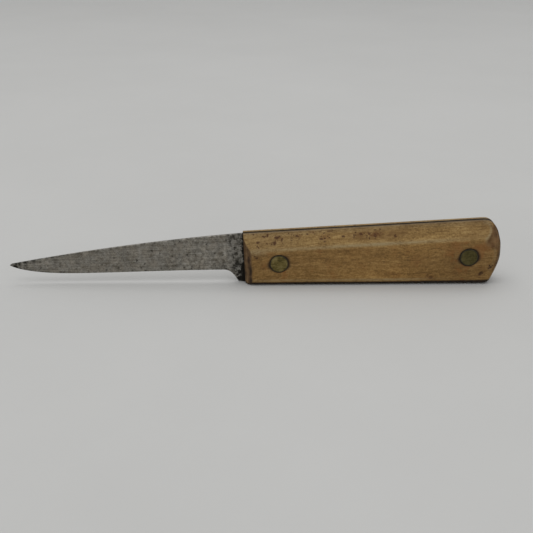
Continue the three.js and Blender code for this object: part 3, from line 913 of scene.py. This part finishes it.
def tarnished_brass():
    """Brass gone olive: cloudy tarnish, deeper on some heads, fine scratches and a dirty rim."""
    material, tree, shader = new_finish("tarnished_brass")
    place = tree.place()
    clouds = tree.effect(MOTTLE, place, Scale=500)
    scratches = tree.effect(STREAKS, place, Along=300, Across=2500)
    tone = tree.between(0.4, clouds, scratches)
    colour = tree.mix(tree.field("tarnish"), tree.ramp(tone, BRASS_TONES), TARNISH_COLOUR)
    grime_and_shade = tree.math("MULTIPLY", tree.field("grime_and_shade"), tree.fit(clouds, 0.3, 0.6, 1, 0.8))
    colour = tree.mix(grime_and_shade, colour, BRASS_GRIME)
    tree.wire(shader, {"Base Color": colour, "Metallic": tree.fit(grime_and_shade, 0, 1, 0.9, 0.2)})
    bare = tree.fit(tone, 0.4, 0.6, 0.6, 0.44)
    tree.wire(shader, {"Roughness": tree.between(grime_and_shade, bare, 0.85), "Normal": tree.bump(tone, 0.3, 0.0001)})
    return material


def pale_floor():
    """Plain pale board, faintly clouded, which lets a view from below through."""
    material, tree, shader = new_finish("pale_floor")
    clouds = tree.effect(MOTTLE, tree.place(), Scale=4)
    colour = tree.ramp(clouds, FLOOR_TONES)
    tree.wire(shader, {"Base Color": colour, "Roughness": 0.8, "Specular IOR Level": 0.2})
    clear = tree.add("BsdfTransparent")
    behind = tree.add("NewGeometry").outputs["Backfacing"]
    both = tree.add("MixShader", {0: behind, 1: shader.outputs[0], 2: clear.outputs[0]})
    tree.wire(material.node_tree.nodes["Material Output"], {"Surface": both.outputs[0]})
    return material


# Scales
ScaleForm = namedtuple("ScaleForm", "side below_top to_butt from_front past_front past_corner")
Nicks = namedtuple("Nicks", "depth dark halo")


def scale_form(x, z):
    """The outer side of a scale, as its distance from the knife's middle: the least of the face, which falls
    a little towards the bottom, the bevel, the eased top corner of the butt, the rounded bottom and butt, and
    the slanted, slightly swelled front end, with soft corners between them. Gives also the distances below
    the top line, from the butt and from the front end, and past the arrises of that end and that corner."""
    below_top = top_height(x) - z
    to_butt = butt_distance(x, z)
    from_front = x - front_line(z)

    low = np.clip(FACE_FALL_HEIGHT - z, 0, FACE_FALL_HEIGHT) / FACE_FALL_HEIGHT
    face = HANDLE_SIDE - FACE_FALL * low**2
    top_edge = TANG_SIDE + TOP_FLAT_WIDTH
    lean = (HANDLE_SIDE - top_edge) / BEVEL_HEIGHT
    bevel = top_edge + lean * below_top - round_over(below_top, TOP_ROUND)
    ridged = soft_min(face, bevel, RIDGE_SOFTNESS)

    fall = CORNER_FALL * np.clip(1 - to_butt / CORNER_REACH, 0, 1) ** 2
    corner = HANDLE_SIDE - fall * step(z, CORNER_FOOT, CORNER_TOP)
    eased = soft_min(ridged, corner, ARRIS_SOFTNESS)
    rounded = HANDLE_SIDE - round_over(np.minimum(z, to_butt), EDGE_ROUND)
    behind_front = soft_min(eased, rounded, ARRIS_SOFTNESS)

    flat_side = TANG_SIDE + FRONT_FLAT_WIDTH
    slant = from_front / FRONT_SLANT
    swell = np.sqrt(1 - np.clip(1 - slant, 0, 1) ** 2) - np.clip(slant, 0, 1)
    front = flat_side + (HANDLE_SIDE - flat_side) * (slant + FRONT_SWELL * swell)
    side = soft_min(behind_front, front, ARRIS_SOFTNESS)
    return ScaleForm(side, below_top, to_butt, from_front, behind_front - front, ridged - corner)


def nick_marks(x, z, nicks, seed):
    """How deep nicks are, how dark, and the smear round them: turned oval bells, steepened, the same times
    each one's darkness, and larger bells times it."""
    rng = np.random.default_rng(seed)
    where, up, size, dark = np.array(nicks).T
    lengths, heights = size * rng.uniform(*NICK_STRETCH, (2, len(nicks)))
    angles = rng.uniform(-NICK_TURN, NICK_TURN, len(nicks))
    marks = step(ovals(x, z, where, up, lengths, heights, angles), *NICK_WALL)
    halos = ovals(x, z, where, up, NICK_HALO * lengths, NICK_HALO * heights, angles)
    return Nicks(marks.max(-1), (marks * dark).max(-1), (halos * dark).max(-1))


def ring_dirt(x, z, centre):
    """Dirt round a rivet's hole: a bell of the distance from its rim, wider along the grain than across,
    and wavering with the angle in two sine waves."""
    dx = x - centre[0]
    dz = z - centre[2]
    reach = np.maximum(np.hypot(dx, dz), TINY)
    angle = np.arctan2(dz, dx)
    width = RING_ACROSS + (RING_ALONG - RING_ACROSS) * (dx / reach) ** 2
    slow_wave, fast_wave = RING_WAVES
    width *= 1 + slow_wave * np.sin(2 * angle + RING_PHASE) + fast_wave * np.sin(5 * angle + centre[0])
    return bell(np.maximum(reach - HEAD_RADIUS - CLEARANCE, 0), 0, width)


def foot_shade_height(x):
    """How far the painted shade along the foot reaches up from the bottom, read off between the places where
    it is given.
    """
    return np.interp(x, *np.transpose(FOOT_SHADE))


def rubbed_and_highlit_wood(x, z, form):
    """How far the wood is rubbed and painted lighter: the sum of the rubbed places and the painted
    highlights, each a product of bells and steps.
    """
    # Rubbed wood and a painted highlight along the ridge
    ridge = RIDGE_RUB_AND_HIGHLIGHT_LEAST + bell(x, *RIDGE_RUB_AND_HIGHLIGHT_ALONG)
    ridge *= bell(form.below_top, *RIDGE_RUB_AND_HIGHLIGHT) * step(x, *RIDGE_RUB_AND_HIGHLIGHT_END)
    top = bell(form.below_top, *TOP_RUB) + step(form.below_top, *TOP_EDGE_RUB)
    bevel = bell(form.below_top, *BEVEL_RUB) * bell(x, *BEVEL_RUB_ALONG)
    # Rubbed wood and a painted highlight along the eased corner's arris
    corner = bell(form.past_corner, *CORNER_RUB_AND_HIGHLIGHT) * step(z, *CORNER_RUB_AND_HIGHLIGHT_UP)
    corner *= step(form.to_butt, *CORNER_RUB_AND_HIGHLIGHT_REACH)
    # Painted highlight just above the painted shade at the foot
    foot = bell(z - foot_shade_height(x), *FOOT_HIGHLIGHT) * (bell(x, *FOOT_HIGHLIGHT_FRONT) + bell(x, *FOOT_HIGHLIGHT_MIDDLE))
    butt = bell(form.to_butt, *BUTT_RUB) * step(z, *BUTT_RUB_FOOT) * step(z, *BUTT_RUB_TOP)
    front = bell(form.below_top, *FRONT_RUB) * bell(x, *FRONT_RUB_ALONG)
    return np.clip(ridge + top + bevel + corner + foot + butt + front, 0, 1)


def wood_grime_and_shade(x, z, form, ring, nicks, seam_shade_and_dirt):
    """How dirty the wood is and where shade is painted: the sum of the dirt round the rivets, painted shade
    at the foot thinning to dirt on the very bottom, painted shade and dirt beside the blade and along the
    seam, dirt up the front end and in the nicks, and darker wood at the butt's rim, each a product of bells
    and steps."""
    reach = foot_shade_height(x)
    # Painted shade along the foot, darkest low on the rounded bottom edge and thinning to dirt on the very
    # bottom
    foot = step(z, reach, FOOT_SHADE_FULL * reach)
    foot *= np.maximum(step(form.past_front, *FOOT_SHADE_BEHIND), step(z, *FOOT_SHADE_LOWEST))
    foot *= BOTTOM_DIRT_LEAST + step(z, *BOTTOM_DIRT_TO_SHADE)
    # Painted shade and dirt in the joint with the blade
    joint = bell(form.from_front, *JOINT_ON_WOOD)
    streaks = bell(form.past_front, *END_STREAK) * sum(bell(z, *streak) for streak in END_STREAKS_UP)
    streaks *= x < X_FRONT + 2 * FRONT_SLANT
    # Painted shade and dirt along the seam at the top line
    seam = seam_shade_and_dirt * step(form.below_top, *SEAM_ON_TOP)
    # Darker wood along the butt's rim
    butt = bell(form.to_butt, *BUTT_RIM_DARKER) * step(z, *BUTT_RIM_DARKER_UP)
    butt *= step(form.below_top, *UNDER_RIM)
    return np.clip(ring + foot + joint + streaks + NICK_GRIME * nicks.dark**2 + seam + butt, 0, 1)


def wood_fields(x, z, form, marks, nicks, ring):
    """What the wood's finish reads at each point: the grain's shift, a parabola of the distance from where it
    turns, and how far the wood is bevel, pale, end grain, worn and painted with highlights, pitted, blotched,
    stained, smeared, and dirty and painted with shade."""
    turned_grain = np.clip(GRAIN_TURN - x, 0, GRAIN_TURN - X_FRONT)
    under_rim = step(form.below_top, *UNDER_RIM)
    on_corner = step(form.past_corner, *CORNER_END) * under_rim
    on_bevel = step(form.below_top, *BEVEL_COLOUR)
    pale = bell(x, *PALE_MIDDLE) + bell(x, *PALE_FRONT) + step(z, *PALE_UPPER)
    pale = np.clip(pale * (1 - on_bevel), 0, 1) + spots(x, z, PALE_WOOD)
    on_butt = step(form.to_butt, *BUTT_END) * step(z, *BUTT_END_UP) * under_rim
    ends = (step(form.past_front, *FRONT_END), on_butt, CORNER_END_GRAIN * on_corner)
    smear = bell(form.below_top, *SMEAR) * bell(x, *SMEAR_ALONG) + bell(x, *REAR_SMEAR_ALONG) * on_bevel
    return {
        "grain_shift": GRAIN_SLOPE * turned_grain**2 / (2 * (GRAIN_TURN - X_FRONT)) * MM,
        "bevel": on_bevel * (1 - CORNER_OFF_BEVEL * on_corner),
        "pale": np.clip(pale, 0, MOST_PALE),
        "end_grain": np.max(ends, axis=0),
        # Rubbed wood and painted highlights
        "worn": rubbed_and_highlit_wood(x, z, form),
        "pits": clusters(x, z, marks["pits"]),
        "blotches": clusters(x, z, marks["blotches"]),
        "stain": nicks.dark,
        "smear": np.clip(smear + NICK_SMEAR * nicks.halo, 0, 1),
        # Dirt and painted shade
        "grime_and_shade": wood_grime_and_shade(x, z, form, ring, nicks, marks["seam_shade_and_dirt"]),
    }


def make_scale(name, side, marks, material):
    """One scale: a slab between the tang and the form's outer side, with stepped holes for the rivets. Only
    nicks and the sunk wood round the rivets are taken out of it; pits, blotches, dirt, painted shade and
    painted highlights are finish alone."""
    x, z, in_head, in_sleeve = rivet_holes(*handle_grid(), HEAD_RADIUS, SLEEVE_RADIUS)
    form = scale_form(x, z)
    nicks = nick_marks(x, z, marks["nicks"], marks["seed"])
    ring = np.max([ring_dirt(x, z, centre) for centre in RIVET_CENTRES.values()], axis=0)
    worn = form.side - (NICK_DEPTH * nicks.depth + RIM_DROP * ring**2)
    outer = np.where(in_head, HEAD_SEAT, np.maximum(worn, TANG_SIDE + LEAST_WOOD))
    skins = (-outer, -TANG_SIDE) if side < 0 else (TANG_SIDE, outer)
    points, faces, used = slab(x, z, *skins, whole_cells(in_sleeve))

    fields = on_points(wood_fields(x, z, form, marks, nicks, ring), used)
    # Walls beside the tang: painted shade and dirt from just below the top line down, and dirt on their
    # bottom edge
    inner = np.abs(points[:, 1]) < TANG_SIDE + LEAST_WOOD / 2
    depth = form.below_top.ravel()[used[inner] % x.size]
    seam = np.maximum(step(depth, *SEAM_DEPTH), marks["seam_shade_and_dirt"])
    fields["grime_and_shade"][inner] = np.where(points[inner, 2] < SEAM_FOOT, SEAM_FOOT_DIRT, seam)
    add_piece(name + "_worn", points, faces, material, [name], fields)


# Blade
BladeForm = namedtuple("BladeForm", "half from_edge from_spine from_plunge")


def blade_form(x, z):
    """Half the blade's thickness: straight from the edge to the rounded spine, which thins towards the tip,
    and eased over the plunge, which sweeps back along the choil, into the full thickness of the ricasso and
    the tang. Gives also the distances from the edge, the spine and the plunge."""
    edge = np.interp(x, *edge_line().T)
    spine = np.where(x < X_FRONT, np.interp(x, *spine_line().T), top_height(x))
    share = np.clip((x - X_TIP) / (X_RICASSO - X_TIP), 0, 1)
    spine_half = TIP_HALF + (TANG_SIDE - TIP_HALF) * share
    up = np.clip((z - edge) / (spine - edge), 0, 1)
    ground = EDGE_HALF + (spine_half - EDGE_HALF) * up
    sweep = PLUNGE_SWEEP * (np.clip(PLUNGE_BEND - z, 0, PLUNGE_BEND) / PLUNGE_BEND) ** 2
    from_plunge = x - X_RICASSO - sweep
    plunge = step(from_plunge, -PLUNGE_WIDTH / 2, PLUNGE_WIDTH / 2)
    half = ground + (TANG_SIDE - ground) * plunge
    from_spine = np.where(x < X_FRONT, spine - z, SPINE_ROUND)
    half = half - round_over(from_spine, SPINE_ROUND) * half / TANG_SIDE
    return BladeForm(half, z - edge, from_spine, from_plunge)


def steel_fields(x, z, form):
    """What the steel's finish reads at each point: how dirty it is and where shade is painted, how dark with
    patina, and how pale before the plunge with a painted highlight along it, each a sum of products of bells
    and steps."""
    to_scale = np.maximum(front_line(np.clip(z, 0, FRONT_HEIGHT)) - x, 0)
    heel = bell(to_scale, *HEEL_DARK) * step(z, *HEEL_DARK_UP)
    fore = bell(x, *FORE_PART)
    spine_rim = (SPINE_RIM_DARK + SPINE_RIM_FORE * fore) * bell(form.from_spine, *SPINE_RIM)
    edge_rim = (EDGE_RIM_DARK + EDGE_RIM_FORE * fore) * bell(form.from_edge, *EDGE_RIM)
    before_plunge = bell(x, *BEFORE_PLUNGE)
    patina = step(form.from_plunge, *RICASSO_DARK) + HEEL_PATINA * heel + bell(x, *TIP_DARK)
    patina += spine_rim + edge_rim + BEFORE_PLUNGE_DARK * before_plunge + spots(x, z, DARK_STEEL)
    # A painted highlight along the plunge line
    line = bell(form.from_plunge, *PLUNGE_HIGHLIGHT) * step(form.from_spine, *PLUNGE_HIGHLIGHT_TOP)
    line *= step(form.from_edge, *PLUNGE_HIGHLIGHT_FOOT)
    pale = line + BEFORE_PLUNGE_PALE * before_plunge + spots(x, z, PALE_STEEL)
    return {
        # Painted shade and dirt by the wood and over the whole tang, where to_scale is nought, and dirt at
        # the heel
        "grime_and_shade": np.clip(bell(to_scale, *JOINT_ON_STEEL) + HEEL_GRIME * heel, 0, 1),
        "patina": np.clip(patina, 0, 1),
        # Paler steel before the plunge, and the painted highlight along it
        "plunge": np.clip(pale, 0, 1) * (form.from_plunge < PLUNGE_PALE_END),
    }


def make_blade(material):
    """The blade and its tang: a slab of twice the form's half thickness, with holes for the rivets."""
    x, z, in_sleeve = rivet_holes(*blade_grid(), SLEEVE_RADIUS)
    form = blade_form(x, z)
    points, faces, used = slab(x, z, -form.half, form.half, whole_cells(in_sleeve))
    fields = on_points(steel_fields(x, z, form), used)
    add_piece("ground_blade", points, faces, material, ["blade"], fields)


# Rivets
def head_profile(side):
    """A rivet head's outer face and rim, as (radius, y) from the axis outwards: flat, with a quarter round
    into its side."""
    turn = np.linspace(0, math.pi / 2, HEAD_ROUND_STEPS)
    flat_radius = HEAD_RADIUS - HEAD_ROUND
    radius = np.concatenate([np.multiply(HEAD_RINGS, flat_radius), flat_radius + HEAD_ROUND * np.sin(turn)])
    drop = np.concatenate([np.zeros(len(HEAD_RINGS)), HEAD_ROUND * (1 - np.cos(turn))])
    return list(zip(radius, side * (HANDLE_SIDE - HEAD_SINK - drop)))


def make_rivets(material):
    """Each rivet's two halves, turned: a stem with a chamfered end on the left, and on the right a sleeve
    with a bore that it goes into."""
    bore = STEM_RADIUS + CLEARANCE
    stem_end = HEAD_SEAT - RIVET_END_GAP
    stem = head_profile(-1) + [
        (HEAD_RADIUS, -HEAD_SEAT), (STEM_RADIUS, -HEAD_SEAT), (STEM_RADIUS, stem_end - STEM_CHAMFER),
        (STEM_RADIUS - STEM_CHAMFER, stem_end), (0, stem_end),
    ]
    sleeve = [
        (0, HEAD_SEAT), (bore, HEAD_SEAT), (bore, -stem_end), (SLEEVE_RADIUS, -stem_end),
        (SLEEVE_RADIUS, HEAD_SEAT), (HEAD_RADIUS, HEAD_SEAT),
    ] + head_profile(1)[::-1]
    for place, centre in RIVET_CENTRES.items():
        for half, profile in (("stem", stem), ("sleeve", sleeve)):
            points, faces = turned(centre, profile)
            radius = np.hypot(points[:, 0] - centre[0], points[:, 2] - centre[2])
            fields = {
                "grime_and_shade": step(radius, HEAD_RADIUS - RIM_DIRT[place], HEAD_RADIUS - RIM_DIRT_FULL),
                "tarnish": np.full(len(points), TARNISH[place]),
            }
            node = f"{place}_rivet_{half}"
            add_piece(node + "_ground", points, faces, material, [node], fields)


# Stage and camera
def make_floor():
    """A square of floor just under the knife."""
    corners = np.array([(-1, -1), (1, -1), (1, 1), (-1, 1)]) * FLOOR_HALF
    points = [(x, y, -FLOOR_GAP) for x, y in corners]
    floor = add_mesh("floor", points, [(0, 1, 2, 3)], pale_floor())


def make_light():
    """An even white sky, and a broad lamp straight above the knife."""
    world = bpy.data.worlds.new("sky")
    world.use_nodes = True
    sky = world.node_tree.nodes["Background"]
    Tree(world.node_tree).wire(sky, {"Color": (1, 1, 1), "Strength": SKY_STRENGTH})
    bpy.context.scene.world = world
    lamp = bpy.data.lights.new("overhead_lamp", "AREA")
    lamp.size = LAMP_SIZE
    lamp.energy = LAMP_POWER
    add_object("overhead_lamp", lamp).location = (0, 0, LAMP_HEIGHT)


def make_camera():
    """A camera on the line from the aim back along the view's azimuth and elevation."""
    azimuth, elevation = math.radians(VIEW_AZIMUTH), math.radians(VIEW_ELEVATION)
    level = math.cos(elevation)
    back = Vector((math.sin(azimuth) * level, -math.cos(azimuth) * level, math.sin(elevation)))
    data = bpy.data.cameras.new("camera")
    data.lens = FOCAL_PIXELS / IMAGE_PIXELS * data.sensor_width
    data.clip_start = NEAREST_SEEN
    camera = add_object("camera", data)
    camera.location = VIEW_AIM + VIEW_DISTANCE * back
    camera.rotation_euler = (-back).to_track_quat("-Z", "Y").to_euler()
    bpy.context.scene.camera = camera


wood = aged_hardwood()
make_blade(dull_steel())
make_scale("left_scale", -1, LEFT_MARKS, wood)
make_scale("right_scale", 1, RIGHT_MARKS, wood)
make_rivets(tarnished_brass())
make_floor()
make_light()
make_camera()
bpy.context.scene.view_settings.view_transform = "Standard"
